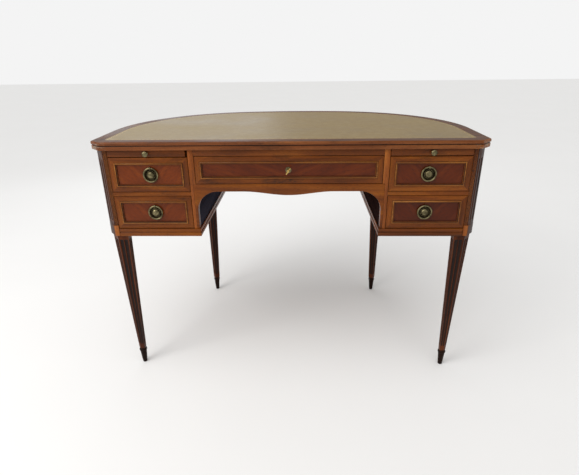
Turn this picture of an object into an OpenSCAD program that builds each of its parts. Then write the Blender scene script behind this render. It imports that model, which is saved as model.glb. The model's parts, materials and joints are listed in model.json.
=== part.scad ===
// Half-round writing desk. A leather-lined top with clipped front corners stands on
// two drawer pedestals, with a locking drawer over the kneehole, two pull-out writing
// slides and six-sided tapered legs. Millimetres, X to the right, Y to the back, Z up.
// The origin is on the floor under the middle of the top.

/* [Overall] */
// Height of the writing surface above the floor
desk_h = 760; // [640:5:900]
// Width of the top at its straight sides
top_w = 1106; // [920:2:1330]
// Depth of the top, front edge to the middle of the back
top_d = 640; // [560:5:770]
// Depth of the curved part of the plan, behind the straight sides
curve_d = 439; // [360:1:530]
// Radius of the flat curve along the back
back_r = 1200; // [950:10:2400]
// Width of the kneehole between the pedestals
knee_w = 528; // [440:2:640]

/* [Top] */
// Distance that the top stands out past the case
top_over = 12; // [8:1:20]
// Height of the rounded upper moulding of the edge
bead_h = 10; // [6:1:16]
// Height of the groove under it
groove_h = 2; // [1:0.5:4]
// Depth of that groove
groove_in = 3; // [1:0.5:5]
// Height of the flat lower band of the edge
band_h = 11; // [6:1:18]
// Setback of the flat band
band_in = 1; // [0:0.5:3]
// Width of the wooden border around the leather
leather_border = 35; // [20:1:70]
// Thickness of the leather
leather_t = 1.4; // [0.8:0.1:3]

/* [Case] */
// Size of the 45 degree cut on each front corner of the case
corner_cut = 23; // [15:1:32]
// Width of the reeded front strip of each corner post
post_face = 12; // [8:1:20]
// Depth of the front corner posts
post_d = 50; // [42:1:60]
// Thickness of the curved sides and back
wall_t = 18; // [12:1:24]
// Thickness of the kneehole sides
inner_t = 16; // [12:1:22]
// Thickness of the front rails and stiles, front to back
rail_d = 20; // [16:1:28]
// Height of the rail between two drawers
rail_h = 11; // [8:1:20]
// Height of the rail under the lower drawers
base_rail_h = 23; // [16:1:34]
// Thickness of the pedestal floors
floor_t = 11; // [8:1:16]
// Height of the frieze rail over the centre drawer
frieze_h = 18.5; // [12:0.5:30]
// Height of the apron beside its dip
apron_h = 22; // [14:1:34]
// Depth of the dip in the middle of the apron
apron_dip = 11; // [4:1:16]
// Half the width of that dip
dip_half = 130; // [80:5:170]
// Width of the arch strip on each side of the kneehole
strip_w = 7; // [4:1:10]
// Radius of the arch corners
arch_r = 60; // [30:1:80]
// Thickness of the drawer guides
guide_t = 8; // [6:1:12]

/* [Drawers] */
// Height of a side drawer front
side_drawer_h = 98; // [70:1:120]
// Height of the centre drawer front
centre_drawer_h = 77.5; // [60:0.5:100]
// Free space behind a side drawer and a writing slide, at the curved wall
side_back_gap = 14; // [6:1:80]
// Free space behind the centre drawer
centre_back_gap = 128; // [60:2:240]
// Gap all round a drawer front
gap = 1.5; // [1:0.1:2.5]
// Thickness of a drawer front
front_t = 20; // [16:1:24]
// Width of the flat border outside the bead
border_w = 13; // [8:1:20]
// Width of the bead moulding
bead_w = 8; // [5:1:12]
// Height of the bead over the border
bead_out = 2.5; // [1:0.5:5]
// Depth of the sunk panel inside the bead
panel_sink = 3; // [1:0.5:5]
// Thickness of drawer sides and backs
box_t = 10; // [8:1:14]
// Thickness of a drawer bottom
bottom_t = 4; // [3:0.5:6]
// Distance of a drawer side's top edge under the front's
box_drop = 12; // [8:1:24]

/* [Writing slides] */
// Height of the opening for a slide
slide_open_h = 21; // [17:1:30]
// Diameter of a slide knob
slide_knob_dia = 18.5; // [10:0.5:22]
// Distance that the knobs sit off the slides' middles, away from the kneehole
knob_out = 2; // [0:0.5:12]
// Distance that the left slide stops short of its stile
left_slide_short = 5; // [0:0.5:8]

/* [Legs] */
// Width of a front leg at the top, without its corner cut
leg_face = 35; // [26:1:40]
// Width across a leg at the ankle
ankle_w = 21; // [16:1:28]
// Height of a turned foot
foot_h = 56; // [40:1:80]
// Diameter of the foot's collar
collar_dia = 25; // [20:1:32]
// Diameter of the foot at the floor
toe_dia = 14; // [10:1:20]
// Width of a back leg at the top
back_leg_w = 42; // [32:1:50]
// Distance of a back leg from the kneehole side, to its middle
back_leg_out = 58; // [48:1:80]
// Distance that the ankle of a back leg lies nearer the wall than its post
back_ankle_out = 9; // [0:1:10]
// Height of the block over each leg
block_h = 32; // [24:1:44]
// Distance that the blocks stand proud
block_out = 2; // [1:0.5:4]

/* [Fittings] */
// Distance that the ring pulls sit off their drawers' middles, towards the kneehole
pull_in = 4; // [0:0.5:12]
// Outside diameter of a ring pull
ring_dia = 43.6; // [30:0.2:48]
// Thickness of the ring
ring_t = 4.6; // [3:0.2:6]
// Diameter of the rosette behind the ring
rosette_dia = 37; // [26:0.5:40]
// Width of the lock case
lock_w = 44; // [36:1:60]
// Height of the lock case
lock_h = 48; // [44:1:54]
// Depth of the lock case
lock_d = 9.5; // [8:0.5:12]
// Diameter of the key's shank
shank_dia = 4; // [3:0.5:5]
// Travel of the lock bolt
bolt_travel = 7; // [4:0.5:8]
// Turn of the key's bow from upright, at rest
key_tilt = 35; // [0:5:60]

/* [Hidden] */
$fn = 64;
SIDES = ["left", "right"];
LEVELS = ["upper", "lower"];

eps = 0.01;                 // makes cuts run past a face
play = 0.5;                 // running play of drawers and slides on their bearers
fit = 0.2;                  // clearance of let-in fittings
shank_play = 0.05;          // radial clearance of the key in its lock

// Plan of the top, with y = 0 at the case front
front_y = top_over - top_d / 2;
top_half = top_w / 2;
case_half = top_half - top_over;
back_reach = top_d - top_over;
side_run = back_reach - curve_d;
shoulder_r = (pow(back_r, 2) - pow(top_half, 2) - pow(back_r - curve_d, 2)) / (2 * (back_r - top_half));
shoulder_x = top_half - shoulder_r;
back_c = back_reach - back_r;
arris = case_half - corner_cut;
open_out = arris - post_face;

// Heights of the case, from the top down
under_top = desk_h - bead_h - groove_h - band_h;
slide_z = under_top - slide_open_h;
bay_h = side_drawer_h + 2 * gap;
upper_z = slide_z - bay_h;
shelf_z = upper_z - rail_h;
lower_z = shelf_z - bay_h;
case_z = lower_z - base_rail_h;
centre_z = under_top - frieze_h - centre_drawer_h - 2 * gap;
apron_z = centre_z - apron_h;

// Bays
knee_half = knee_w / 2;
open_in = knee_half + inner_t;
bay_w = open_out - open_in;
bay_x = (open_out + open_in) / 2;
drawer_w = bay_w - 2 * gap;
centre_w = knee_w - 2 * gap;
centre_box_w = centre_w - 2 * guide_t;
bead_in = border_w + bead_w;
inner_shoulder_r = shoulder_r - top_over - wall_t;
side_drawer_d = side_run - side_back_gap
    + sqrt(pow(inner_shoulder_r, 2) - pow(open_out - shoulder_x, 2));
centre_drawer_d = back_c - centre_back_gap + sqrt(pow(back_r - top_over - wall_t, 2) - pow(knee_half, 2));
bottom_z = 8;               // height of a drawer bottom over the front's lower edge
runner_w = 20;              // bearing width under the centre drawer
cleat_w = 12;               // bearing width under a writing slide

// Legs
back_post_r = shoulder_r - top_over + block_out - back_leg_w / 2;
back_leg_angle = acos((open_in + back_leg_out - shoulder_x) / back_post_r);
leg_set = 2;                // setback of the leg's front and back faces under the block
leg_side_set = 5;           // setback of its outer face
leg_cut = corner_cut - 2;   // corner cut of a front leg
leg_in = arris - leg_face - leg_side_set;
ankle = ankle_w / 2;
ankle_out = 10;             // distance of the ankle outside the middle of the leg's face
ankle_x = leg_in + leg_face / 2 + ankle_out;
ankle_y = post_d / 2;
foot_joint = 4;             // height of the neck between a foot and its leg
back_leg_cut = 6;           // corner cut of a back leg
reed_r = 1.2;               // radius of the fine grooves between the reeds
reeds = 3;
flute_r = 4;
flute_sink = 1.5;           // distance of a flute's axis in front of the cut face
flute_space = 14;           // distance between the two flutes
flute_bottom = 14;          // plain height between the block and the flutes
flute_top = 30;             // plain height over the flutes

// Base moulding: top and reach of its band, groove and bead
moulding = [[0.45, 4], [0.58, 2], [1, 3.5]];

// Fittings
ring_mid = (ring_dia - ring_t) / 2;
rosette_t = 2;              // thickness of the rosette's rim
rosette_r = rosette_dia / 2;
dome_clear = 6.2;           // room between the hanging ring and the dome on the rosette
dome_r = min(ring_dia / 2 - ring_t - dome_clear, rosette_r - 4);
dome_h = 7;
eye_play = 0.35;            // play of a ring in its eye
eye_w = 5;
eye_dia = ring_t + 3.8;
eye_foot = min(rosette_r, ring_mid) - 3; // lowest point of the eye's block
ring_y = panel_sink - rosette_t - ring_t / 2 - 0.4;
stud_dia = 4;
nut_dia = 10;
nut_t = 3;
key_z = centre_drawer_h / 2;
keyway_w = 3;               // width and drop of the slot under the keyhole
keyway_h = 7.5;
plate_dia = 17;             // diameter of the keyhole plate
lock_z = centre_drawer_h - lock_h;
lock_y = front_t - lock_d;
lock_wall = 1.2;
bolt_w = 16;
bolt_t = 3.4;
bolt_foot = 8;              // height of the bolt's lower end over the key
bolt_y = lock_y + lock_wall + fit;
bit_h = 7;                  // reach and thickness of the key's bit
bit_t = 2;
bow_r = 5.5;                // radius of a lobe of the bow, and of its hole
bow_hole_r = 2.8;
bow_t = 2.6;

wood = "sienna";
pale_wood = "burlywood";
brass = "darkgoldenrod";

function along(c, r, a) = c + r * [cos(a), sin(a)];
shoulder = [shoulder_x, side_run];
function flip(p) = [-p[0], p[1]];

// ---- Plans -------------------------------------------------------------

// The half-round plan of the top, moved in by a distance
module outline(inset) {
    half = top_half - inset;
    front = inset - top_over;
    corner = arris + sqrt(2) * (top_over - inset);
    reach = 3 * [shoulder_x, side_run - back_c];
    intersection() {
        union() {
            translate([-half, front]) square([2 * half, side_run - front]);
            for (s = [-1, 1])
                translate([s * shoulder_x, side_run]) circle(r = shoulder_r - inset, $fn = 160);
            intersection() {
                translate([0, back_c]) circle(r = back_r - inset, $fn = 360);
                polygon([[0, back_c], [reach[0], back_c + reach[1]], [-reach[0], back_c + reach[1]]]);
            }
        }
        polygon([[corner + front, front], [corner + top_d, top_d],
            [-corner - top_d, top_d], [-corner - front, front]]);
    }
}

module plate(inset, z, h) translate([0, 0, z]) linear_extrude(h) outline(inset);

// The curved wall of the case, seen from above
module wall_plan() difference() {
    outline(top_over);
    outline(top_over + wall_t);
}

// The part of the plan beside a back leg, towards the front
module side_sector() {
    far = 2 * shoulder_r;
    translate([shoulder_x, post_d]) square([far, side_run - post_d]);
    polygon([shoulder, along(shoulder, far, 0), along(shoulder, far, back_leg_angle / 2),
        along(shoulder, far, back_leg_angle)]);
}

// The part of the plan between the back legs
module back_sector() {
    out = along(shoulder, 3 * shoulder_r, back_leg_angle);
    polygon([shoulder, out, flip(out), flip(shoulder)]);
}

module front_post_plan(out = 0) {
    cut = arris + out * (sqrt(2) - 1);
    polygon([[open_out, -out], [cut, -out], [case_half + out, case_half + 2 * out - cut],
        [case_half + out, post_d], [open_out, post_d]]);
}

module back_post_plan() translate(along(shoulder, back_post_r, back_leg_angle))
    rotate(back_leg_angle) square(back_leg_w, center = true);

module prism(z0, z1) translate([0, 0, z0]) linear_extrude(z1 - z0) children();

// Puts a right-hand piece on the named side, in the object's own frame
module on_side(side) translate([0, front_y, 0]) mirror([side == "left" ? 1 : 0, 0, 0]) children();

module in_case() translate([0, front_y, 0]) children();

// Puts a drawer piece in its bay: x = 0 is the middle of the bay
module in_bay(side, level)
    translate([side == "left" ? -bay_x : bay_x, front_y, (level == "upper" ? upper_z : lower_z) + gap])
        children();

// Place of a ring pull across its bay
function pull_x(side) = side == "left" ? pull_in : -pull_in;

module in_centre_bay() translate([0, front_y, centre_z + gap]) children();

module facing_front() rotate([90, 0, 0]) children();

// ---- Top ---------------------------------------------------------------

module top_board() color(wood) in_case() difference() {
    union() {
        plate(0, desk_h - bead_h, bead_h);
        plate(groove_in, under_top + band_h, groove_h);
        plate(band_in, under_top, band_h);
    }
    plate(leather_border, desk_h - leather_t - fit, leather_t + fit + eps);
}

module leather_inset() color("tan") in_case()
    plate(leather_border + fit, desk_h - leather_t - fit, leather_t);

// ---- Case front --------------------------------------------------------

module frieze_rail() color(wood) in_case() difference() {
    translate([-knee_half, 0, under_top - frieze_h]) cube([knee_w, rail_d, frieze_h]);
    translate([-bolt_w / 2 - play, bolt_y - play, under_top - frieze_h - eps])
        cube([bolt_w + 2 * play, bolt_t + 2 * play, bolt_travel + 2 * play]);
}

function dip(x) = abs(x) < dip_half ? apron_dip * (1 + cos(180 * x / dip_half)) / 2 : 0;

module apron() color(wood) in_case() translate([0, rail_d, 0]) facing_front() linear_extrude(rail_d) {
    polygon(concat([[knee_half, apron_z], [knee_half, centre_z], [-knee_half, centre_z],
        [-knee_half, apron_z]], [for (x = [-dip_half:dip_half / 16:dip_half]) [x, apron_z - dip(x)]]));
    for (s = [-1, 1]) scale([s, 1]) {
        translate([knee_half, case_z]) square([strip_w, centre_z - case_z]);
        difference() {
            translate([knee_half - arch_r, apron_z - arch_r]) square(arch_r + eps);
            translate([knee_half - arch_r, apron_z - arch_r]) circle(r = arch_r);
        }
    }
}

module stile() color(wood) {
    translate([knee_half + strip_w, 0, case_z]) cube([inner_t - strip_w, rail_d, centre_z - case_z]);
    translate([knee_half, 0, centre_z]) cube([inner_t, rail_d, under_top - centre_z]);
}

// ---- Pedestals ---------------------------------------------------------

module inner_side() color("rosybrown") difference() {
    intersection() {
        translate([knee_half, rail_d, case_z]) cube([inner_t, top_d, under_top - case_z]);
        plate(top_over + wall_t, case_z, under_top - case_z);
    }
    prism(case_z - eps, under_top + eps) back_post_plan();
}

module curved_side() color(wood) prism(case_z, under_top) difference() {
    intersection() {
        wall_plan();
        side_sector();
    }
    back_post_plan();
}

module back_panel() color(wood) in_case() difference() {
    prism(case_z, under_top) difference() {
        intersection() {
            wall_plan();
            back_sector();
        }
        back_post_plan();
        mirror([1, 0]) back_post_plan();
    }
    translate([-knee_half, side_run, case_z - eps]) cube([knee_w, top_d, apron_z - arch_r - case_z + eps]);
    translate([arch_r - knee_half, side_run, apron_z - arch_r - eps])
        cube([knee_w - 2 * arch_r, top_d, arch_r + eps]);
    for (s = [-1, 1]) translate([s * (knee_half - arch_r), side_run + top_d, apron_z - arch_r])
        facing_front() cylinder(r = arch_r, h = top_d);
}

// A board inside one pedestal, reaching the curved walls
module pedestal_board(z, t, rail_top) difference() {
    union() {
        intersection() {
            translate([open_in, rail_d, z]) cube([top_w, top_d, t]);
            plate(top_over + wall_t, z, t);
        }
        translate([open_in, 0, z]) cube([bay_w, rail_d, rail_top - z]);
    }
    prism(z - eps, z + t + eps) front_post_plan();
    prism(z - eps, z + t + eps) back_post_plan();
}

module pedestal_floor() color(pale_wood) pedestal_board(case_z, floor_t, lower_z);

module shelf() color(pale_wood) pedestal_board(shelf_z, rail_h, upper_z);

// Band, groove and bead along the foot of a pedestal, turned around its inner corner
module base_moulding() color(wood) for (i = [0:2]) {
    z0 = case_z + (i == 0 ? 0 : moulding[i - 1][0] * base_rail_h);
    h = case_z + moulding[i][0] * base_rail_h - z0;
    out = moulding[i][1];
    translate([knee_half - out, -out, z0]) cube([open_out - block_out - knee_half + out, out, h]);
    intersection() {
        translate([knee_half - out, -eps, z0]) cube([out, top_d, h]);
        plate(top_over, z0, h);
    }
}

// Upright guides beside the drawers, runners under the lower drawers and cleats under the slides
module drawer_guides() color(pale_wood) for (side = SIDES) on_side(side) {
    guide_y = post_d + fit;
    intersection() {
        union() for (span = [[case_z + floor_t, shelf_z], [upper_z, under_top]])
            translate([open_out, guide_y, span[0]])
                cube([guide_t, side_drawer_d - guide_y, span[1] - span[0]]);
        plate(top_over + wall_t, case_z, under_top - case_z);
    }
    for (x = [open_in, open_out - cleat_w]) {
        translate([x, front_t + play, slide_z - cleat_w + play])
            cube([cleat_w, side_drawer_d - front_t - play, cleat_w]);
        translate([x, rail_d, case_z + floor_t])
            cube([cleat_w, side_drawer_d - rail_d, base_rail_h - floor_t]);
    }
}

module centre_runners() color(pale_wood) for (side = SIDES) on_side(side) {
    translate([knee_half - runner_w, rail_d, centre_z - cleat_w])
        cube([runner_w, centre_drawer_d - rail_d, cleat_w]);
    translate([knee_half - guide_t, front_t + play, centre_z])
        cube([guide_t, centre_drawer_d - front_t - play, runner_w]);
}

// ---- Legs --------------------------------------------------------------

// Turned collar and tapered toe, on the leg's own axis
module foot() {
    toe = toe_dia / 2;
    collar = collar_dia / 2;
    rotate_extrude() polygon([[0, 0], [toe - 1, 0], [toe, 1], [collar - 2, foot_h - 10],
        [collar, foot_h - 7], [collar, foot_h - 3], [collar - 2, foot_h], [0, foot_h]]);
    translate([0, 0, foot_h - eps]) cylinder(r = ankle - 0.5, h = foot_joint);
}

// Six-sided section: both the outer front and the inner back corner are cut
module leg_section(x0, y0, x1, y1, cut) polygon([[x0, y0], [x1 - cut, y0], [x1, y0 + cut], [x1, y1],
    [x0 + cut, y1], [x0, y1 - cut]]);

// Corner post with three reeds and two flutes over a plain block, on a tapered leg
module front_leg() color(wood) {
    face_mid = [arris + corner_cut / 2, corner_cut / 2];
    block_top = case_z + block_h;
    difference() {
        prism(case_z, under_top) front_post_plan();
        for (i = [0:reeds]) translate([open_out + post_face * (i + 0.5) / (reeds + 1), -0.4, block_top])
            cylinder(r = reed_r, h = under_top);
        for (s = [-1, 1]) translate(concat(face_mid + s * flute_space / 2 * [sqrt(0.5), sqrt(0.5)]
                + flute_sink * [1, -1], block_top + flute_bottom))
            cylinder(r = flute_r, h = under_top - block_top - flute_bottom - flute_top);
    }
    prism(case_z, block_top) front_post_plan(block_out);
    hull() {
        prism(case_z - 0.5, case_z)
            leg_section(leg_in, leg_set, case_half - leg_side_set, post_d - leg_set, leg_cut);
        prism(foot_h + foot_joint - 0.5, foot_h + foot_joint) leg_section(ankle_x - ankle, ankle_y - ankle,
            ankle_x + ankle, ankle_y + ankle, ankle_w / 3);
    }
    translate([ankle_x, ankle_y, 0]) foot();
}

// Square leg set to follow the curve, with a pilaster up the wall
module back_leg() color(wood) {
    half = back_leg_w / 2 - leg_set;
    prism(case_z, under_top) back_post_plan();
    translate(concat(along(shoulder, back_post_r, back_leg_angle), 0)) rotate(back_leg_angle) {
        hull() {
            prism(case_z - 0.5, case_z + 0.5) leg_section(-half, -half, half, half, back_leg_cut);
            prism(foot_h + foot_joint - 0.5, foot_h + foot_joint)
                leg_section(back_ankle_out - ankle, -ankle, back_ankle_out + ankle, ankle, back_leg_cut / 2);
        }
        translate([back_ankle_out, 0, 0]) foot();
    }
}

// ---- Drawers -----------------------------------------------------------

// Front with a sunk panel; y = 0 is its face and z = 0 its bottom edge
module drawer_front(w, h) color(wood) difference() {
    translate([-w / 2, 0, 0]) cube([w, front_t, h]);
    translate([bead_in - w / 2, -eps, bead_in]) cube([w - 2 * bead_in, panel_sink + eps, h - 2 * bead_in]);
    children();
}

module side_drawer_front(x) drawer_front(drawer_w, side_drawer_h)
    translate([x, front_t + 1, side_drawer_h / 2]) facing_front()
        cylinder(d = stud_dia + 2 * fit, h = front_t + 2);

module centre_front() in_centre_bay() drawer_front(centre_w, centre_drawer_h) {
    translate([-lock_w / 2 - fit, lock_y, lock_z - fit]) cube([lock_w + 2 * fit, front_t, lock_h + 1]);
    translate([0, front_t + 1, key_z]) keyhole(front_t + 2, shank_dia + 4 * fit);
}

module drawer_bead(w, h) color(wood) difference() {
    translate([border_w - w / 2, -bead_out, border_w])
        cube([w - 2 * border_w, bead_out, h - 2 * border_w]);
    translate([bead_in - w / 2, -bead_out - 1, bead_in])
        cube([w - 2 * bead_in, bead_out + 2, h - 2 * bead_in]);
}

// Two sides grooved for the bottom, and the back between them
module drawer_box(w, h, d) color(pale_wood) {
    low = play - gap;
    top = h - box_drop;
    inside = bottom_z + bottom_t;
    for (s = [-1, 1]) difference() {
        translate([s * (w - box_t) / 2 - box_t / 2, front_t, low]) cube([box_t, d - front_t, top - low]);
        translate([s * (w / 2 - box_t) - box_t / 2, front_t - 1, bottom_z]) cube([box_t, d, bottom_t]);
    }
    translate([box_t - w / 2, d - box_t, inside]) cube([w - 2 * box_t, box_t, top - inside]);
}

module drawer_bottom(w, d) color(pale_wood)
    translate([box_t / 2 - w / 2, front_t, bottom_z]) cube([w - box_t, d - front_t, bottom_t]);

// Domed rosette with the eye that holds the ring, and its stud and nut through the front
module ring_pull() color(brass) translate([0, 0, side_drawer_h / 2]) difference() {
    union() {
        translate([0, panel_sink, 0]) facing_front() rotate_extrude() polygon(concat(
            [[0, 0], [rosette_r, 0], [rosette_r, rosette_t / 2], [rosette_r - 1, rosette_t]],
            [for (a = [0:15:90]) [dome_r * cos(a), rosette_t + dome_h * sin(a)]]));
        translate([-eye_w / 2, ring_y, ring_mid]) rotate([0, 90, 0]) cylinder(d = eye_dia, h = eye_w);
        translate([-eye_w / 2, ring_y, eye_foot])
            cube([eye_w, panel_sink - ring_y, ring_mid - eye_foot]);
        translate([0, front_t + 2 * nut_t, 0]) facing_front()
            cylinder(d = stud_dia, h = front_t + 2 * nut_t - panel_sink);
        translate([0, front_t + nut_t, 0]) facing_front() cylinder(d = nut_dia, h = nut_t, $fn = 6);
    }
    translate([-eye_w, ring_y, ring_mid]) rotate([0, 90, 0])
        cylinder(d = ring_t + 2 * eye_play, h = 2 * eye_w);
    translate([0, ring_y, 0]) facing_front() rotate_extrude($fn = 96)
        translate([ring_mid, 0]) circle(d = ring_t + 2 * eye_play, $fn = 32);
}

module pull_ring() color(brass) translate([0, ring_y, side_drawer_h / 2]) facing_front()
    rotate_extrude($fn = 96) translate([ring_mid, 0]) circle(d = ring_t, $fn = 32);

// ---- Lock --------------------------------------------------------------

module keyhole(depth, d) {
    facing_front() cylinder(d = d, h = depth);
    translate([-keyway_w / 2, -depth, -keyway_h]) cube([keyway_w, depth, keyway_h]);
}

module lock_case() color("darkgray") in_centre_bay() difference() {
    translate([-lock_w / 2, lock_y, lock_z]) cube([lock_w, lock_d, lock_h]);
    translate([lock_wall - lock_w / 2, lock_y + lock_wall, lock_z + lock_wall])
        cube([lock_w - 2 * lock_wall, lock_d - 2 * lock_wall, lock_h - 2 * lock_wall]);
    translate([0, lock_y + lock_wall + eps, key_z])
        keyhole(lock_wall + 2 * eps, shank_dia + 2 * shank_play);
    translate([-bolt_w / 2 - fit, bolt_y - fit, centre_drawer_h - lock_wall - eps])
        cube([bolt_w + 2 * fit, bolt_t + 2 * fit, lock_wall + 1]);
}

module lock_bolt() color(brass) in_centre_bay()
    translate([-bolt_w / 2, bolt_y, key_z + bolt_foot])
        cube([bolt_w, bolt_t, centre_drawer_h - key_z - bolt_foot - fit]);

module escutcheon() color(brass) in_centre_bay() translate([0, panel_sink, key_z]) difference() {
    facing_front() cylinder(d = plate_dia, h = 1);
    translate([0, 1, 0]) keyhole(3, shank_dia + 4 * fit);
}

// Shank, bit and a pierced three-lobed bow
module key() color(brass) in_centre_bay() translate([0, 0, key_z]) rotate([0, key_tilt, 0]) {
    tip = lock_y + lock_d - lock_wall - 0.4;
    bit_y = bolt_y + bolt_t + 0.4;
    lobes = [[-12.5, -6.5], [-12.5, 6.5], [-18.5, 0]];
    translate([0, tip, 0]) facing_front() cylinder(d = shank_dia, h = tip + 10);
    translate([0, -6, 0]) facing_front() cylinder(d = shank_dia + 2, h = 2);
    translate([-bit_t / 2, bit_y, -bit_h]) cube([bit_t, tip - bit_y, bit_h]);
    difference() {
        for (lobe = lobes) translate([-bow_t / 2, lobe[0], lobe[1]]) rotate([0, 90, 0])
            cylinder(r = bow_r, h = bow_t);
        for (lobe = lobes) translate([-bow_t, lobe[0], lobe[1]]) rotate([0, 90, 0])
            cylinder(r = bow_hole_r, h = 2 * bow_t);
    }
}

// ---- Writing slides ----------------------------------------------------

module writing_slide(short = 0) color(wood)
    translate([open_in + gap + short, 0, slide_z + 2 * play])
        cube([drawer_w - short, side_drawer_d, slide_open_h - 4 * play]);

// Round plate, neck and button
module slide_knob() color(brass) translate([bay_x + knob_out, 0, slide_z + slide_open_h / 2]) facing_front()
    rotate_extrude() {
        r = slide_knob_dia / 2;
        polygon([[0, 0], [r - 2.5, 0], [r - 2.5, 1], [3.5, 2.5], [3.5, 7], [r, 9.5], [r, 11],
            [r - 1.5, 13], [0, 14]]);
    }

// ---- Drawing -----------------------------------------------------------

top_board();
leather_inset();
frieze_rail();
apron();
back_panel();
drawer_guides();
centre_runners();
for (s = SIDES) {
    on_side(s) stile();
    on_side(s) inner_side();
    on_side(s) curved_side();
    on_side(s) pedestal_floor();
    on_side(s) shelf();
    on_side(s) base_moulding();
    on_side(s) front_leg();
    on_side(s) back_leg();
    on_side(s) writing_slide(s == "left" ? left_slide_short : 0);
    on_side(s) slide_knob();
}
for (l = LEVELS, s = SIDES) {
    id = str(l, "_", s, "_");
    in_bay(s, l) side_drawer_front(pull_x(s));
    in_bay(s, l) drawer_bead(drawer_w, side_drawer_h);
    in_bay(s, l)
        drawer_box(drawer_w, side_drawer_h, side_drawer_d);
    in_bay(s, l) drawer_bottom(drawer_w, side_drawer_d);
    in_bay(s, l)
        translate([pull_x(s), 0, 0]) ring_pull();
    in_bay(s, l)
        translate([pull_x(s), 0, 0]) pull_ring();
}
centre_front();
in_centre_bay() drawer_bead(centre_w, centre_drawer_h);  // centre_bead
in_centre_bay()  // centre_box
    drawer_box(centre_box_w, centre_drawer_h, centre_drawer_d);
in_centre_bay() drawer_bottom(centre_box_w, centre_drawer_d);  // centre_bottom
lock_case();
lock_bolt();
escutcheon();
key();
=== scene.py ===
"""A half-round writing desk in polished mahogany with a leather-lined top, antique brass
ring pulls, a locking centre drawer and fluted tapered legs. Lengths are in metres."""

import json
import math

import bmesh
import bpy
from mathutils import Matrix, Vector


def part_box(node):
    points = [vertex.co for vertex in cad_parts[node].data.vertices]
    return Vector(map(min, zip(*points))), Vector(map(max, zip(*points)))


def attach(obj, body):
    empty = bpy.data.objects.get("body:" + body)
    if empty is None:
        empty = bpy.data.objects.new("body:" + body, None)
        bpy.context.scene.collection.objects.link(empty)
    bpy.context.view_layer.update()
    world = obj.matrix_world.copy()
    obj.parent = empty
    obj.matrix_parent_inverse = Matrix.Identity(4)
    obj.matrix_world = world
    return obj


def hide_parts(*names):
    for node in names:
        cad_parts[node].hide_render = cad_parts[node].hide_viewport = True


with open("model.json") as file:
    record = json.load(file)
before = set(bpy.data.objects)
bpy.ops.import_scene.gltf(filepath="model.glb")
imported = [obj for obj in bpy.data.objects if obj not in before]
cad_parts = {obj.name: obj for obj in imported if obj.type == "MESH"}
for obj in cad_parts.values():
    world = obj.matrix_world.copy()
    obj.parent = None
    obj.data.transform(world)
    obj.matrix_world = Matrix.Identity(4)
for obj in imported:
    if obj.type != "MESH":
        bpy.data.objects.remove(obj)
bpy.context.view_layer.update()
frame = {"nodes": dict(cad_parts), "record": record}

MM = 0.001
SIDES = {"left": -1, "right": 1}
LEVELS = ("upper", "lower")
CARCASE = "carcase"

# Heights and edges that the pieces below share, taken from the frame
TOP_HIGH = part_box("top_board")[1]
CASE_LOW, CASE_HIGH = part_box("right_curved_side")
FRONT_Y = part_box("frieze_rail")[0].y


# ---- Camera, light and floor ---------------------------------------------

def set_camera():
    """The sitter's view from a standing height, a little to the right of the middle."""
    yaw, pitch, roll = (math.radians(a) for a in (-1.862, 23.013, 0.717))
    ahead = Vector((math.sin(yaw) * math.cos(pitch), math.cos(yaw) * math.cos(pitch), -math.sin(pitch)))
    level = Vector((math.cos(yaw), -math.sin(yaw), 0))
    down = ahead.cross(level)
    right = level * math.cos(roll) + down * math.sin(roll)
    below = down * math.cos(roll) - level * math.sin(roll)
    data = bpy.data.cameras.new("camera")
    data.lens = 27.55
    data.sensor_width = 36
    data.clip_start = 0.05
    camera = bpy.data.objects.new("camera", data)
    turn = Matrix((right, -below, -ahead)).transposed().to_4x4()
    camera.matrix_world = Matrix.Translation((0.040, -1.517, 0.988)) @ turn
    bpy.context.scene.collection.objects.link(camera)
    bpy.context.scene.camera = camera


def add_light(name, place, target, size, power, tint=(1, 1, 1)):
    """A soft rectangular light at place that faces target."""
    data = bpy.data.lights.new(name, "AREA")
    data.shape = "RECTANGLE"
    data.size, data.size_y = size
    data.energy = power
    data.color = tint
    lamp = bpy.data.objects.new(name, data)
    lamp.location = place
    lamp.rotation_euler = (Vector(target) - Vector(place)).to_track_quat("-Z", "Y").to_euler()
    bpy.context.scene.collection.objects.link(lamp)


def set_studio():
    """Pale floor and surroundings, with one broad light in front and a window behind."""
    world = bpy.data.worlds.new("studio")
    bpy.context.scene.world = world
    world.use_nodes = True
    tree = world.node_tree
    backdrop = tree.nodes["Background"]
    backdrop.inputs["Color"].default_value = (0.905, 0.905, 0.905, 1)
    room = tree.nodes.new("ShaderNodeBackground")
    room.inputs["Color"].default_value = (0.54, 0.535, 0.525, 1)
    seen = tree.nodes.new("ShaderNodeLightPath")
    choice = tree.nodes.new("ShaderNodeMixShader")
    tree.links.new(seen.outputs["Is Camera Ray"], choice.inputs["Fac"])
    tree.links.new(room.outputs["Background"], choice.inputs[1])
    tree.links.new(backdrop.outputs["Background"], choice.inputs[2])
    tree.links.new(choice.outputs["Shader"], tree.nodes["World Output"].inputs["Surface"])
    sky = bpy.data.lights.new("sky", "SUN")
    sky.energy = 1.3
    sky.angle = math.radians(70)
    lamp = bpy.data.objects.new("sky", sky)
    lamp.rotation_euler = Vector((0.35, 0.5, -1)).to_track_quat("-Z", "Y").to_euler()
    bpy.context.scene.collection.objects.link(lamp)
    add_light("front_light", (-1.9, -1.7, 1.9), (-0.2, 0, 0.6), (1.4, 1.4), 26, (1, 0.98, 0.94))
    add_light("window", (-1.0, 2.4, 1.5), (-0.1, 0, 0.75), (1.7, 1.3), 6, (0.93, 0.97, 1))
    bpy.context.scene.view_settings.view_transform = "Standard"
    shape = bmesh.new()
    bmesh.ops.create_grid(shape, x_segments=1, y_segments=1, size=14)
    floor = finish("floor", shape, [paint_floor()], place=Matrix.Translation((0, 0, -0.0005)))


# ---- Materials -----------------------------------------------------------

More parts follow.
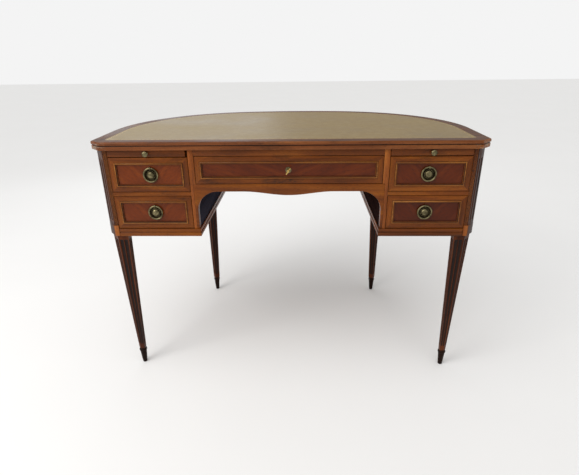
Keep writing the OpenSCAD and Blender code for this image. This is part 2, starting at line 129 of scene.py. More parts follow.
def tone(r, g, b):
    """A colour from its 0 to 255 screen values."""
    def linear(c):
        c /= 255
        return c / 12.92 if c <= 0.04045 else ((c + 0.055) / 1.055) ** 2.4
    return (linear(r), linear(g), linear(b), 1)


class Finish:
    """A material under construction: its nodes and the links between them."""

    def __init__(self, name, roughness=0.5, metallic=0.0, coat=0.0, coat_roughness=0.1, specular=0.5):
        self.material = bpy.data.materials.new(name)
        self.material.use_nodes = True
        self.tree = self.material.node_tree
        self.surface = self.tree.nodes["Principled BSDF"]
        self.surface.inputs["Roughness"].default_value = roughness
        self.surface.inputs["Metallic"].default_value = metallic
        self.surface.inputs["Coat Weight"].default_value = coat
        self.surface.inputs["Coat Roughness"].default_value = coat_roughness
        self.surface.inputs["Specular IOR Level"].default_value = specular
        self.place = self.node("ShaderNodeTexCoord").outputs["Object"]

    def node(self, kind, **settings):
        made = self.tree.nodes.new(kind)
        for key, value in settings.items():
            setattr(made, key, value)
        return made

    def link(self, output, socket):
        self.tree.links.new(output, socket)
        return self

    def mapped(self, scale=(1, 1, 1), turn=(0, 0, 0), centre=(0, 0, 0), source=None):
        """Coordinates moved to a centre, then turned, then scaled."""
        moved = self.node("ShaderNodeMapping", vector_type="POINT")
        moved.inputs["Location"].default_value = [-c for c in centre]
        self.link(source or self.place, moved.inputs["Vector"])
        turned = self.node("ShaderNodeMapping", vector_type="POINT")
        turned.inputs["Rotation"].default_value = turn
        self.link(moved.outputs["Vector"], turned.inputs["Vector"])
        scaled = self.node("ShaderNodeMapping", vector_type="POINT")
        scaled.inputs["Scale"].default_value = scale
        self.link(turned.outputs["Vector"], scaled.inputs["Vector"])
        return scaled.outputs["Vector"]

    def mirrored(self, centre_x):
        """Coordinates whose x is the distance from a middle line, as in matched leaves."""
        parts = self.node("ShaderNodeSeparateXYZ")
        self.link(self.place, parts.inputs[0])
        shifted = self.math("SUBTRACT", parts.outputs["X"], centre_x)
        joined = self.node("ShaderNodeCombineXYZ")
        self.link(self.math("ABSOLUTE", shifted), joined.inputs["X"])
        self.link(parts.outputs["Y"], joined.inputs["Y"])
        self.link(parts.outputs["Z"], joined.inputs["Z"])
        return joined.outputs[0]

    def noise(self, vector, scale=1.0, detail=4.0, rough=0.5, bend=0.0):
        made = self.node("ShaderNodeTexNoise")
        self.link(vector, made.inputs["Vector"])
        made.inputs["Scale"].default_value = scale
        made.inputs["Detail"].default_value = detail
        made.inputs["Roughness"].default_value = rough
        made.inputs["Distortion"].default_value = bend
        return made.outputs["Fac"]

    def ramp(self, factor, *stops):
        """Each stop is (position, colour or grey value)."""
        made = self.node("ShaderNodeValToRGB")
        self.link(factor, made.inputs["Fac"])
        marks = made.color_ramp.elements
        while len(marks) < len(stops):
            marks.new(0.5)
        for mark, (position, colour) in zip(marks, stops):
            mark.position = position
            mark.color = colour if isinstance(colour, tuple) else (colour, colour, colour, 1)
        return made.outputs["Color"]

    def math(self, operation, a, b=None):
        made = self.node("ShaderNodeMath", operation=operation)
        for socket, value in zip(made.inputs, (a, b)):
            if isinstance(value, (int, float)):
                socket.default_value = value
            elif value is not None:
                self.link(value, socket)
        return made.outputs[0]

    def mix(self, factor, a, b, blend="MIX"):
        made = self.node("ShaderNodeMix", data_type="RGBA", blend_type=blend)
        for socket, value in zip((made.inputs[0], made.inputs[6], made.inputs[7]), (factor, a, b)):
            if isinstance(value, (int, float, tuple)):
                socket.default_value = value
            else:
                self.link(value, socket)
        return made.outputs[2]

    def bump(self, height, strength, depth):
        made = self.node("ShaderNodeBump")
        made.inputs["Strength"].default_value = strength
        made.inputs["Distance"].default_value = depth
        self.link(height, made.inputs["Height"])
        self.link(made.outputs["Normal"], self.surface.inputs["Normal"])

    def colour(self, output):
        self.link(output, self.surface.inputs["Base Color"])

    def rough(self, output):
        self.link(output, self.surface.inputs["Roughness"])


GRAIN = {"x": (0, 0, 0), "y": (0, 0, math.pi / 2), "z": (0, math.pi / 2, 0)}


def wood(name, grain, tones, streak=26.0, flow=2.2, bend=0.6, roughness=0.36,
         coat=0.03, centre=(0, 0, 0), matched=False, scuffs=False, specular=0.18, grime=0.0):
    """Polished wood whose streaks run along one axis, or along a turn given as three angles."""
    made = Finish(name, roughness, coat=coat, coat_roughness=0.2, specular=specular)
    turn = GRAIN[grain] if isinstance(grain, str) else grain
    source = made.mirrored(centre[0]) if matched else None
    around = (0, centre[1], centre[2]) if matched else centre
    streaks = made.noise(made.mapped((flow, streak, streak), turn, around, source), 1, 7, 0.6, bend)
    pores = made.noise(made.mapped((90, 1900, 1900), turn, around, source), 1, 2, 0.5)
    clouds = made.noise(made.mapped((5, 5, 5), turn, around, source), 1, 3, 0.5, 0.3)
    dark, middle, light = tones
    body = made.ramp(streaks, (0.26, dark), (0.48, middle), (0.74, light))
    shaded = made.mix(made.ramp(clouds, (0.35, 0.3), (0.65, 0.0)), body, dark)
    pored = made.mix(made.ramp(pores, (0.34, 0.55), (0.46, 0.0)), shaded, tone(38, 16, 8))
    smears = made.noise(made.mapped((9, 30, 30), turn, around, source), 1, 3, 0.5, 0.2)
    worn_dark = made.ramp(smears, (0.56, 0.0), (0.7, grime))
    specks = made.noise(made.mapped((70, 260, 260), turn, around, source), 1, 4, 0.7)
    flecks = made.ramp(specks, (0.42, 0.3), (0.6, 1.0))
    pored = made.mix(made.mix(1.0, worn_dark, flecks, "MULTIPLY"), pored, tone(34, 20, 12))
    if scuffs:
        parts = made.node("ShaderNodeSeparateXYZ")
        made.link(made.place, parts.inputs[0])
        out = made.math("ABSOLUTE", parts.outputs["X"])
        near_end = made.ramp(made.math("SUBTRACT", out, parts.outputs["Y"]), (0.815, 0.0), (0.845, 1.0))
        worn = made.ramp(made.noise(made.mapped((60, 60, 160)), 1, 4, 0.7), (0.53, 0.0), (0.6, 0.75))
        pored = made.mix(made.mix(1.0, near_end, worn, "MULTIPLY"), pored, tone(150, 138, 120))
    made.colour(pored)
    made.rough(made.ramp(clouds, (0.3, roughness - 0.07), (0.7, roughness + 0.08)))
    made.bump(pores, 0.12, 0.0004)
    return made.material


def paint_floor():
    made = Finish("studio_floor", 0.9, specular=0.1)
    cloud = made.noise(made.place, 2, 2)
    made.colour(made.ramp(cloud, (0.3, 0.885), (0.7, 0.895)))
    return made.material


def dye_leather():
    """Worn olive-tan hide with a pebbled grain, duller and greyer patches and rubbed marks."""
    made = Finish("desk_leather", 0.42, specular=0.42)
    patches = made.noise(made.mapped((3, 4, 4)), 1, 4, 0.55, 0.4)
    pebbles = made.node("ShaderNodeTexVoronoi", feature="SMOOTH_F1")
    pebbles.inputs["Scale"].default_value = 620
    pebbles.inputs["Smoothness"].default_value = 0.4
    made.link(made.place, pebbles.inputs["Vector"])
    rubbed = made.noise(made.mapped((40, 46, 46)), 1, 6, 0.65, 0.3)
    hide = made.ramp(patches, (0.3, tone(126, 104, 60)), (0.52, tone(142, 119, 72)),
                     (0.72, tone(152, 132, 86)))
    worn = made.mix(made.ramp(rubbed, (0.44, 0.0), (0.66, 0.28)), hide, tone(170, 152, 108))
    creases = made.ramp(pebbles.outputs["Distance"], (0.25, 0.0), (0.6, 0.25))
    creased = made.mix(creases, worn, tone(98, 76, 42))
    made.colour(creased)
    made.rough(made.ramp(patches, (0.3, 0.36), (0.7, 0.5)))
    made.bump(pebbles.outputs["Distance"], 0.18, 0.0004)
    return made.material


def gild():
    """Faded gold tooling pressed into the hide."""
    made = Finish("gold_tooling", 0.4, 0.55)
    broken = made.noise(made.mapped((160, 160, 160)), 1, 4, 0.6)
    made.colour(made.ramp(broken, (0.35, tone(120, 88, 38)), (0.6, tone(206, 170, 96))))
    made.rough(made.ramp(broken, (0.3, 0.5), (0.7, 0.34)))
    return made.material


def brass(name, clean, dirt, tarnish=0.5, roughness=0.3):
    """Cast brass, bright where it is handled and dark in its hollows."""
    made = Finish(name, roughness, 1.0)
    clouds = made.noise(made.mapped((70, 70, 70)), 1, 5, 0.6, 0.5)
    specks = made.noise(made.mapped((420, 420, 420)), 1, 3, 0.6)
    aged = made.mix(made.ramp(clouds, (0.36, tarnish), (0.62, 0.05)), clean, dirt)
    made.colour(made.mix(made.ramp(specks, (0.52, 0.0), (0.68, 0.4)), aged, dirt))
    made.rough(made.ramp(clouds, (0.3, roughness + 0.16), (0.7, roughness - 0.05)))
    made.bump(specks, 0.15, 0.0002)
    return made.material


def steel():
    made = Finish("lock_steel", 0.38, 1.0)
    scratches = made.noise(made.mapped((12, 900, 900)), 1, 3, 0.6)
    made.colour(made.ramp(scratches, (0.3, 0.32), (0.7, 0.52)))
    made.rough(made.ramp(scratches, (0.3, 0.32), (0.7, 0.46)))
    made.bump(scratches, 0.1, 0.0002)
    return made.material


FRONT_TONES = (tone(56, 25, 4), tone(114, 56, 9), tone(150, 84, 18))
# The drawer leaves are lit and shaded copies of one veneer. This is painted light: lightest at the upper
# left, and darker to the right and lower down.
PANEL_LIT_AND_SHADED_TONES = {"upper_left": (tone(78, 30, 6), tone(116, 50, 10), tone(140, 68, 18)),
               "lower_left": (tone(74, 28, 6), tone(110, 46, 9), tone(134, 62, 16)),
               "centre": (tone(62, 22, 5), tone(98, 39, 8), tone(120, 54, 13)),
               "upper_right": (tone(60, 21, 4), tone(95, 37, 7), tone(116, 52, 12)),
               "lower_right": (tone(52, 17, 4), tone(84, 31, 6), tone(106, 45, 11))}
LEG_TONES = (tone(42, 16, 6), tone(82, 37, 14), tone(116, 60, 26))
# Near-black painted shade, used for the feet and for grooves and quirks.
SHADE_TONES = (tone(16, 7, 4), tone(28, 13, 7), tone(44, 22, 11))
PALE_TONES = (tone(120, 82, 46), tone(158, 118, 72), tone(184, 146, 98))
# The kneehole sides carry painted reflections of the room, blue-grey on the left and mauve-brown on the
# right, and have no specular of their own.
KNEE_REFLECTION_TONES = {"left": (tone(38, 37, 46), tone(53, 53, 64), tone(66, 65, 76)),
              "right": (tone(24, 15, 14), tone(38, 26, 25), tone(52, 37, 35))}

rail_wood = wood("front_rail_wood", "x", FRONT_TONES, grime=0.45)
post_wood = wood("post_wood", "z", (tone(84, 38, 10), tone(146, 78, 26), tone(186, 112, 48)))
edge_wood = wood("top_edge_wood", "x", (tone(64, 29, 10), tone(124, 68, 30), tone(158, 98, 50)),
                 scuffs=True, grime=0.6)
top_wood = wood("top_border_wood", "x", (tone(56, 28, 13), tone(94, 54, 28), tone(124, 78, 42)), 34, 2.6, 1.2,
                roughness=0.42, grime=0.4)
side_wood = wood("curved_side_wood", "z", FRONT_TONES, 17, 1.6, 1.3)
knee_reflection_woods = {side: wood(f"{side}_kneehole_painted_reflection", "y", tones, 20, 1.8, 0.8, 0.5, 0.0, specular=0.0)
              for side, tones in KNEE_REFLECTION_TONES.items()}
leg_wood = wood("leg_wood", "z", LEG_TONES, 60, 3.0, roughness=0.42, coat=0.0, specular=0.12, grime=0.3)
# The turned feet are painted near-black as painted shade near the floor.
shaded_foot_wood = wood("shaded_foot_wood", "z", SHADE_TONES, 80, 6, roughness=0.5, coat=0.0, specular=0.08)
border_level = wood("border_level_grain", "x", FRONT_TONES, 44, 3.4, 0.4, grime=0.85)
border_upright = wood("border_upright_grain", "z", FRONT_TONES, 44, 3.4, 0.4, grime=0.3)
cant_wood = wood("canted_face_wood", "z", (tone(34, 14, 5), tone(64, 28, 10), tone(92, 46, 18)), 44, 3.4, 0.4)
# Painted shade, put in the groove under the top's bead, the reeds of the posts, the flutes of the legs, the
# quirks of the beads and the walls of the sunk panels.
groove_shade_wood = wood("painted_groove_shade", "x", SHADE_TONES, roughness=0.5, coat=0.0, specular=0.2)
bead_wood = wood("bead_wood", "x", (tone(76, 38, 10), tone(130, 76, 24), tone(170, 112, 50)), 60, 4, 0.3, 0.3)
pale_wood = wood("inside_wood", "y", PALE_TONES, 40, 2.5, 0.5, roughness=0.62, coat=0.0)
hide = dye_leather()
gold_line = gild()
old_brass = brass("antique_brass", tone(142, 132, 98), tone(48, 42, 28), 0.8, 0.32)
dark_brass = brass("tarnished_brass", tone(58, 50, 34), tone(20, 16, 10), 0.8, 0.46)
key_brass = brass("key_brass", tone(232, 200, 120), tone(120, 92, 44), 0.3, 0.22)
lock_steel = steel()


# ---- Mesh helpers --------------------------------------------------------

def finish(name, shape, materials, place=None, smooth_under=32):
    """Turns a bmesh into an object at the origin, smooth where its faces bend gently."""
    if place is not None:
        bmesh.ops.transform(shape, matrix=place, verts=shape.verts)
    bmesh.ops.recalc_face_normals(shape, faces=shape.faces)
    mesh = bpy.data.meshes.new(name)
    shape.to_mesh(mesh)
    shape.free()
    for carried in [a for a in mesh.attributes if a.name == "custom_normal"]:
        mesh.attributes.remove(carried)
    mesh.polygons.foreach_set("use_smooth", [True] * len(mesh.polygons))
    mesh.set_sharp_from_angle(angle=math.radians(smooth_under))
    for material in materials:
        mesh.materials.append(material)
    piece = bpy.data.objects.new(name, mesh)
    bpy.context.scene.collection.objects.link(piece)
    return piece


def stand_for(piece, body, slot, *nodes):
    """The piece moves with a body and hides the nodes it stands for; its slot argument is not used."""
    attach(piece, body)
    if nodes:
        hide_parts(*nodes)
    return piece


def solid_of(node):
    """A merged copy of a node's mesh, with its flat faces whole."""
    shape = bmesh.new()
    shape.from_mesh(frame["nodes"][node].data)
    bmesh.ops.remove_doubles(shape, verts=shape.verts, dist=2e-6)
    bmesh.ops.dissolve_limit(shape, angle_limit=math.radians(0.4), verts=shape.verts, edges=shape.edges)
    return shape


def ease(shape, width, segments=2, angle=30, where=None, clamp=False):
    """Rounds the edges sharper than an angle, or those of them that a test picks."""
    edges = [e for e in shape.edges if len(e.link_faces) == 2
             and e.calc_face_angle() > math.radians(angle) and (where is None or where(e))]
    bmesh.ops.bevel(shape, geom=edges, offset=width, segments=segments, profile=0.5,
                    affect="EDGES", material=-1, clamp_overlap=clamp)
    return shape


def eased(node, body, slot, material, width=0.0008, segments=2, name=None):
    """A node's shape with its sharp edges rubbed down, in one material."""
    shape = ease(solid_of(node), width, segments)
    return stand_for(finish(name or node + "_wood", shape, [material]), body, slot, node)


def turned(profile, segments=40):
    """A turning on the z axis from (radius, height) points, with closed poles."""
    shape = bmesh.new()
    points = [shape.verts.new((radius, 0, height)) for radius, height in profile]
    edges = [shape.edges.new(pair) for pair in zip(points, points[1:])]
    bmesh.ops.spin(shape, geom=points + edges, cent=(0, 0, 0), axis=(0, 0, 1), dvec=(0, 0, 0),
                   angle=2 * math.pi, steps=segments, use_merge=True, use_duplicate=False)
    bmesh.ops.remove_doubles(shape, verts=shape.verts, dist=1e-6)
    return shape


def to_front(centre):
    """Turns a z axis turning so that its top faces the sitter, at a point."""
    return Matrix.Translation(centre) @ Matrix.Rotation(math.pi / 2, 4, "X")


def middle(node):
    low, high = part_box(node)
    return (low + high) / 2


# ---- Top -----------------------------------------------------------------

BEAD_H = 10 * MM
GROOVE_H = 2 * MM


def make_top():
    """The edge's upper moulding is a round bead over a dark groove and a flat band."""
    shape = solid_of("top_board")
    centre = middle("top_board")
    bead_low = TOP_HIGH.z - BEAD_H

    def on_rim(edge, z):
        spot = (edge.verts[0].co + edge.verts[1].co) / 2 - centre
        spot.z = 0
        return all(abs(v.co.z - z) < 1e-5 for v in edge.verts) \
            and any(abs(f.normal.z) < 0.5 and f.normal.dot(spot) > 0 for f in edge.link_faces)

    ease(shape, 4.6 * MM, 5, 20, lambda e: on_rim(e, TOP_HIGH.z))
    ease(shape, 2.4 * MM, 3, 20, lambda e: on_rim(e, bead_low) and any(
        v.co.z > bead_low + 1 * MM for f in e.link_faces for v in f.verts))
    ease(shape, 0.8 * MM, 2, 40, lambda e: max(v.co.z for v in e.verts) < bead_low - GROOVE_H + 1e-4)
    piece = finish("top_wood", shape, [edge_wood, top_wood, groove_shade_wood])
    for face in piece.data.polygons:
        if face.normal.z > 0.9 and face.center.z > TOP_HIGH.z - 2.2 * MM:
            face.material_index = 1
        # The groove under the bead takes painted shade.
        elif bead_low - GROOVE_H - 1e-4 < face.center.z < bead_low + 1e-4:
            face.material_index = 2
    stand_for(piece, CARCASE, "mahogany", "top_board")


def make_leather():
    """The hide with a broad and a narrow gilt line a finger's width inside its edge."""
    shape = solid_of("leather_inset")
    field = [f for f in shape.faces if f.normal.z > 0.9]
    for width, index in ((5 * MM, 0), (2 * MM, 1), (3 * MM, 0), (0.8 * MM, 1)):
        ring = bmesh.ops.inset_region(shape, faces=field, thickness=width, use_even_offset=True,
                                      use_boundary=True)["faces"]
        for face in ring:
            face.material_index = index
    stand_for(finish("leather_hide", shape, [hide, gold_line]), CARCASE, "desk_leather", "leather_inset")


# ---- Case ----------------------------------------------------------------

def refinish(node, material):
    slots = frame["nodes"][node].data.materials
    slots.clear()
    slots.append(material)


def make_case():
    eased("frieze_rail", CARCASE, "mahogany", rail_wood)
    eased("apron", CARCASE, "mahogany", rail_wood, 1.2 * MM)
    kept = {"back_panel": side_wood, "drawer_guides": pale_wood, "centre_runners": pale_wood}
    for side in SIDES:
        eased(f"{side}_stile", CARCASE, "mahogany", post_wood)
        eased(f"{side}_base_moulding", CARCASE, "mahogany", rail_wood, 1.3 * MM, 3)
        eased(f"{side}_writing_slide", f"{side}_slide_board", "mahogany", rail_wood)
        # The inner sides take the painted reflections.
        kept[f"{side}_inner_side"] = knee_reflection_woods[side]
        kept[f"{side}_curved_side"] = side_wood
        kept[f"{side}_pedestal_floor"] = rail_wood
        kept[f"{side}_shelf"] = rail_wood
    for node, material in kept.items():
        refinish(node, material)


# ---- Legs ----------------------------------------------------------------

def make_post(side, end):
    """A corner post and its block, cut from the leg below, with painted shade in its grooves."""
    node = f"{side}_{end}_leg"
    shape = solid_of(node)
    bmesh.ops.bisect_plane(shape, geom=shape.verts[:] + shape.edges[:] + shape.faces[:], dist=1e-6,
                           plane_co=(0, 0, CASE_LOW.z), plane_no=(0, 0, -1), clear_outer=True)
    bmesh.ops.holes_fill(shape, edges=[e for e in shape.edges if e.is_boundary])
    reach = max(abs(v.co.x) - v.co.y for v in shape.verts)
    front = min(v.co.y for v in shape.verts)
    for face in shape.faces:
        spot = face.calc_center_median()
        if end == "front" and abs(face.normal.z) < 0.1:
            if abs(spot.x) - spot.y > reach - 5 * MM:
                face.material_index = 1
            # Faces set back in the front's reeds take painted shade.
            elif face.normal.y < -0.1 and spot.y > front + 2.35 * MM:
                face.material_index = 2
    ease(shape, 0.25 * MM, 1, 40)
    post = finish(f"{side}_{end}_post", shape, [post_wood, cant_wood, groove_shade_wood])
    stand_for(post, CARCASE, "mahogany", node)


def fluted_leg(top, ankle, heights, flutes):
    """A tapered leg between two outlines of the same corners, with round-ended flutes.

    flutes gives, for each side of the outline, how many flutes it has."""
    low, high = heights
    fade = 9 * MM
    starts = low + 18 * MM
    ends = high - 14 * MM
    levels = [(low, 0), (starts, 0)]
    levels += [(starts + fade * (1 - math.cos(a)), math.sin(a)) for a in (0.4, 0.8, 1.2, 1.57)]
    levels += [(ends - fade * (1 - math.cos(a)), math.sin(a)) for a in (1.57, 1.2, 0.8, 0.4)]
    levels += [(ends, 0), (high, 0)]
    shape = bmesh.new()
    sunk_verts = set()

    def ring(z, depth):
        share = (z - low) / (high - low)
        corners = [Vector(a).lerp(Vector(b), share) for a, b in zip(ankle, top)]
        points, hollows = [], []
        for i, start in enumerate(corners):
            end = corners[(i + 1) % len(corners)]
            run = end - start
            inward = Vector((-run.y, run.x)).normalized()
            points.append(start)
            for k in range(flutes[i]):
                half = 0.36 * run.length / flutes[i]
                centre = start + run * (0.08 + 0.84 * (k + 0.5) / flutes[i])
                for angle in range(0, 181, 30):
                    across = -math.cos(math.radians(angle)) * half
                    sunk = math.sin(math.radians(angle)) * half * 0.62 * depth
                    points.append(centre + run.normalized() * across + inward * sunk)
                    hollows.append(len(points) - 1 if sunk > 0.3 * MM else None)
        verts = [shape.verts.new((p.x, p.y, z)) for p in points]
        sunk_verts.update(verts[i] for i in hollows if i is not None)
        return [shape.edges.new(pair) for pair in zip(verts, verts[1:] + verts[:1])]

    rings = [ring(*level) for level in levels]
    for lower, upper in zip(rings, rings[1:]):
        bmesh.ops.bridge_loops(shape, edges=lower + upper)
    bmesh.ops.holes_fill(shape, edges=[e for e in shape.edges if e.is_boundary])
    # Faces in the flutes' hollows take painted shade.
    for face in shape.faces:
        if len(face.verts) == 4 and sum(v in sunk_verts for v in face.verts) >= 3:
            face.material_index = 1
    return shape


def cut_square(x0, y0, x1, y1, cut):
    """A rectangle with its outer front and inner back corners cut off."""
    return [(x0, y0), (x1 - cut, y0), (x1, y0 + cut), (x1, y1), (x0 + cut, y1), (x0, y1 - cut)]


FOOT_TOP = 60 * MM
ANKLE = 10.5 * MM
FOOT_PROFILE = ((0, 0), (5.6, 0), (6.8, 0.8), (7.2, 3), (8.4, 16), (9.8, 36), (10.5, 44), (10.3, 46),
                (11.4, 47), (12.3, 49), (12.5, 51.5), (12.1, 53.5), (11, 55), (10.2, 55.8), (9.9, 57.5),
                (10.2, 59.2), (10.2, 60), (0, 60))


def make_foot(name, x, y, node):
    shape = turned([(r * MM, z * MM) for r, z in FOOT_PROFILE])
    # The foot takes the painted shade.
    piece = finish(name, shape, [shaded_foot_wood], Matrix.Translation((x, y, 0)))
    stand_for(piece, CARCASE, "mahogany", node)


def make_front_leg(side, sign):
    node = f"{side}_front_leg"
    outer = CASE_HIGH.x - 5 * MM
    inner = outer - 53 * MM
    front = FRONT_Y + 2 * MM
    foot_x, foot_y = frame["record"]["mounts"][0]["pos_m"][:2]
    top = cut_square(inner, front, outer, front + 46 * MM, 21 * MM)
    ankle = cut_square(foot_x - ANKLE, foot_y - ANKLE, foot_x + ANKLE, foot_y + ANKLE, 7 * MM)
    shape = fluted_leg(top, ankle, (FOOT_TOP, CASE_LOW.z), (2, 2, 2, 2, 1, 2))
    mirror = Matrix.Scale(sign, 4, (1, 0, 0))
    stand_for(finish(f"{side}_front_taper", shape, [leg_wood, groove_shade_wood], mirror), CARCASE, "mahogany", node)
    make_foot(f"{side}_front_foot", sign * foot_x, foot_y, node)
    make_post(side, "front")


BACK_TURN = math.radians(57.5)
BACK_ANKLE_OUT = 9 * MM


def make_back_leg(side, sign):
    node = f"{side}_back_leg"
    centre = middle("right_back_leg")
    half = 19 * MM
    out = BACK_ANKLE_OUT
    top = cut_square(-half, -half, half, half, 6 * MM)
    ankle = cut_square(out - ANKLE, -ANKLE, out + ANKLE, ANKLE, 3 * MM)
    shape = fluted_leg(top, ankle, (FOOT_TOP, CASE_LOW.z), (2, 0, 2, 2, 0, 2))
    stand = Matrix.Translation((centre.x, centre.y, 0)) @ Matrix.Rotation(BACK_TURN, 4, "Z")
    mirror = Matrix.Scale(sign, 4, (1, 0, 0))
    taper = finish(f"{side}_back_taper", shape, [leg_wood, groove_shade_wood], mirror @ stand)
    stand_for(taper, CARCASE, "mahogany", node)
    foot = mirror @ stand @ Vector((out, 0, 0))
    make_foot(f"{side}_back_foot", foot.x, foot.y, node)
    make_post(side, "back")


# ---- Drawers -------------------------------------------------------------

BORDER = 13 * MM
PANEL_SINK = 3 * MM
# Profile of the bead from its outer to its inner edge: width and rise of each step, in millimetres,
# and whether it takes the painted shade of a quirk
BEAD_STEPS = ((1.1, -0.6, 1), (0.6, 2.4, 1), (0.9, 1.0, 0), (1.4, 0.3, 0), (1.0, -0.4, 0), (0.7, -1.3, 1),
              (0.8, -1.8, 1), (0.8, -2.0, 1), (0.4, -0.6, 1))


def make_drawer_front(name, body, lean):
    """A mitred, cross-banded border around two leaves of figured veneer that mirror each other."""
    low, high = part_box(f"{name}_front")
    centre = (low + high) / 2
    shape = solid_of(f"{name}_front")
    cuts = [(centre, (1, 0, 0))]
    for x, z, slope in ((low.x, low.z, -1), (high.x, high.z, -1), (low.x, high.z, 1), (high.x, low.z, 1)):
        cuts.append(((x, 0, z), (1, 0, slope)))
    for place, across in cuts:
        bmesh.ops.bisect_plane(shape, geom=shape.verts[:] + shape.edges[:] + shape.faces[:], dist=1e-6,
                               plane_co=place, plane_no=across)
    for face in shape.faces:
        spot = face.calc_center_median()
        to_side = min(spot.x - low.x, high.x - spot.x)
        to_edge = min(spot.z - low.z, high.z - spot.z)
        if face.normal.y < -0.9 and spot.y > low.y + PANEL_SINK / 2:
            face.material_index = 2
        elif face.normal.y < -0.9:
            face.material_index = 0 if to_edge < to_side else 1
        # The walls of the sunk panel take painted shade.
        elif min(to_side, to_edge) > BORDER and spot.y < low.y + PANEL_SINK + 1e-4:
            face.material_index = 3
    ease(shape, 0.5 * MM, 2, 40, lambda e: e.verts[0].co.y < low.y + 1e-4 and e.verts[1].co.y < low.y + 1e-4)
    # Each leaf takes its own painted light and shade tones.
    leaf = wood(f"{name}_veneer", (0, lean, 0), PANEL_LIT_AND_SHADED_TONES[name], 30, 3.2, 1.6, 0.34,
                centre=(centre.x, 0, centre.z), matched=True)
    piece = finish(f"{name}_panel_and_banding", shape, [border_level, border_upright, leaf, groove_shade_wood])
    stand_for(piece, body, "drawer_veneer", f"{name}_front")


def make_bead(name, body):
    """The raised moulding, mitred at its corners, falling to the sunk panel inside it."""
    low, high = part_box(f"{name}_bead")
    face_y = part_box(f"{name}_front")[0].y
    shape = bmesh.new()
    bmesh.ops.create_grid(shape, x_segments=1, y_segments=1, size=0.5)
    spread = Matrix.Diagonal((high.x - low.x, high.z - low.z, 1, 1))
    centre = Vector(((low.x + high.x) / 2, face_y, (low.z + high.z) / 2))
    bmesh.ops.transform(shape, matrix=to_front(centre) @ spread, verts=shape.verts)
    bmesh.ops.recalc_face_normals(shape, faces=shape.faces)
    field = shape.faces[:]
    if field[0].normal.y > 0:
        bmesh.ops.reverse_faces(shape, faces=field)
    for width, rise, quirk_shaded in BEAD_STEPS:
        rim = bmesh.ops.inset_region(shape, faces=field, thickness=width * MM, depth=rise * MM,
                                     use_even_offset=True, use_boundary=True)["faces"]
        for face in rim:
            face.material_index = quirk_shaded
    bmesh.ops.delete(shape, geom=field, context="FACES_ONLY")
    bead = finish(f"{name}_bead_moulding", shape, [bead_wood, groove_shade_wood], smooth_under=60)
    stand_for(bead, body, "mahogany", f"{name}_bead")


# Rosette from its rim to the top of its dome: radius and height over the panel, in millimetres
ROSETTE = ((0, 0), (18.5, 0), (18.5, 1.0), (18, 1.8), (16.8, 2.2), (15.4, 1.9), (14.6, 1.2), (13.6, 1.1),
           (12.8, 1.6), (12.3, 2.6), (11.7, 2.8), (11.2, 2.4), (10.8, 3.2), (10, 5.2), (8.4, 7.1), (6, 8.3),
           (3, 8.9), (0, 9))
RING_MID = 19.5 * MM
RING_R = 2.3 * MM


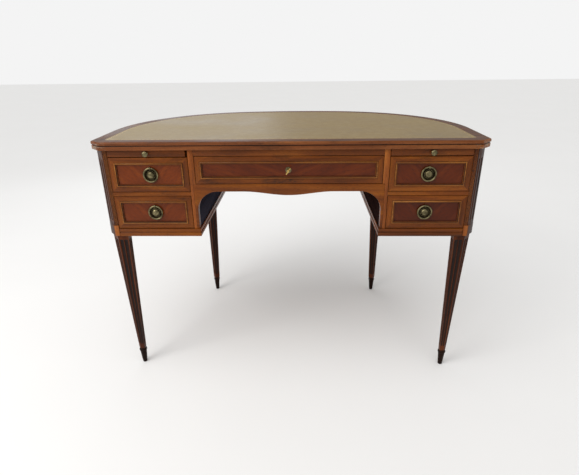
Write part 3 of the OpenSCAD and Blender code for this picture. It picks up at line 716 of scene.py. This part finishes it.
def make_pull(name, body):
    """A domed rosette with the eye that its ring hangs from, and the nut inside the drawer."""
    spot = middle(f"{name}_front")
    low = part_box(f"{name}_front")[0]
    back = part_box(f"{name}_pull")[1].y
    ring = middle(f"{name}_ring")
    base = Vector((ring.x, low.y + PANEL_SINK, spot.z))
    shape = turned([(r * MM, h * MM) for r, h in ROSETTE], 56)
    for face in shape.faces:
        out = face.calc_center_median().to_2d().length
        if 10.9 * MM < out < 11.6 * MM or 12.6 * MM < out < 17 * MM:
            face.material_index = 1
    bmesh.ops.transform(shape, matrix=to_front(base), verts=shape.verts)

    def add_round(radius, start, end, segments, bevel):
        """A round bar or nut between two points, with its edges eased."""
        axis = Vector(end) - Vector(start)
        turn = axis.to_track_quat("Z", "Y").to_matrix().to_4x4()
        place = Matrix.Translation((Vector(start) + Vector(end)) / 2) @ turn
        made = bmesh.ops.create_cone(shape, cap_ends=True, segments=segments, radius1=radius,
                                     radius2=radius, depth=axis.length, matrix=place)["verts"]
        rims = [e for e in {e for v in made for e in v.link_edges} if e.calc_face_angle() > 0.8]
        bmesh.ops.bevel(shape, geom=rims, offset=bevel, segments=2, profile=0.5, affect="EDGES",
                        material=-1, clamp_overlap=False)

    eye = Vector((ring.x, ring.y, ring.z + RING_MID))
    add_round(4.0 * MM, eye - Vector((2.6 * MM, 0, 0)), eye + Vector((2.6 * MM, 0, 0)), 28, 0.9 * MM)
    add_round(2.4 * MM, eye + Vector((0, 0, -1.5 * MM)), (eye.x, base.y, eye.z - 1.5 * MM), 20, 0.3 * MM)
    add_round(2.0 * MM, (base.x, base.y, base.z), (base.x, back, base.z), 24, 0.4 * MM)
    add_round(5.0 * MM, (base.x, back - 6 * MM, base.z), (base.x, back - 3 * MM, base.z), 6, 0.4 * MM)
    rosette = finish(f"{name}_rosette", shape, [old_brass, dark_brass])
    stand_for(rosette, body, "antique_brass", f"{name}_pull")

    hoop = bmesh.new()
    upright = Matrix.Translation((RING_MID, 0, 0)) @ Matrix.Rotation(math.pi / 2, 4, "X")
    rim = bmesh.ops.create_circle(hoop, segments=20, radius=RING_R, matrix=upright)
    bmesh.ops.spin(hoop, geom=rim["verts"] + hoop.edges[:], cent=(0, 0, 0), axis=(0, 0, 1),
                   dvec=(0, 0, 0), angle=2 * math.pi, steps=72, use_merge=True, use_duplicate=False)
    bmesh.ops.remove_doubles(hoop, verts=hoop.verts, dist=1e-6)
    hoop = finish(f"{name}_hanging_ring", hoop, [old_brass], to_front(ring))
    stand_for(hoop, f"{name}_pull_ring", "antique_brass", f"{name}_ring")


def make_drawers():
    for level in LEVELS:
        for side in SIDES:
            name = f"{level}_{side}"
            make_drawer_front(name, f"{name}_drawer", 0.75)
            make_bead(name, f"{name}_drawer")
            make_pull(name, f"{name}_drawer")
            refinish(f"{name}_box", pale_wood)
            refinish(f"{name}_bottom", pale_wood)
    make_drawer_front("centre", "centre_drawer", 0.35)
    make_bead("centre", "centre_drawer")
    refinish("centre_box", pale_wood)
    refinish("centre_bottom", pale_wood)


# ---- Lock, key and slide knobs -------------------------------------------

KNOB = ((0, 0), (5.6, 0), (5.6, 0.7), (4.6, 1.6), (3.4, 2.6), (3.1, 4.2), (3.6, 6.0), (5.6, 7.4), (7.4, 8.6),
        (8.0, 10.0), (7.8, 11.3), (6.6, 12.6), (4.4, 13.5), (2.0, 13.9), (0, 14))


def make_fittings():
    refinish("lock_case", lock_steel)
    refinish("lock_bolt", old_brass)
    eased("escutcheon", "centre_drawer", "antique_brass", old_brass, 0.2 * MM)
    eased("key", "desk_key", "antique_brass", key_brass, 0.35 * MM)
    for side in SIDES:
        node = f"{side}_slide_knob"
        low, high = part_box(node)
        base = Vector(((low.x + high.x) / 2, high.y, (low.z + high.z) / 2))
        shape = turned([(r * MM, h * MM) for r, h in KNOB], 40)
        stand_for(finish(f"{side}_knob", shape, [old_brass], to_front(base)), f"{side}_slide_board",
                  "antique_brass", node)


# ---- Making --------------------------------------------------------------

set_camera()
set_studio()
make_top()
make_leather()
make_case()
for side, sign in SIDES.items():
    make_front_leg(side, sign)
    make_back_leg(side, sign)
make_drawers()
make_fittings()
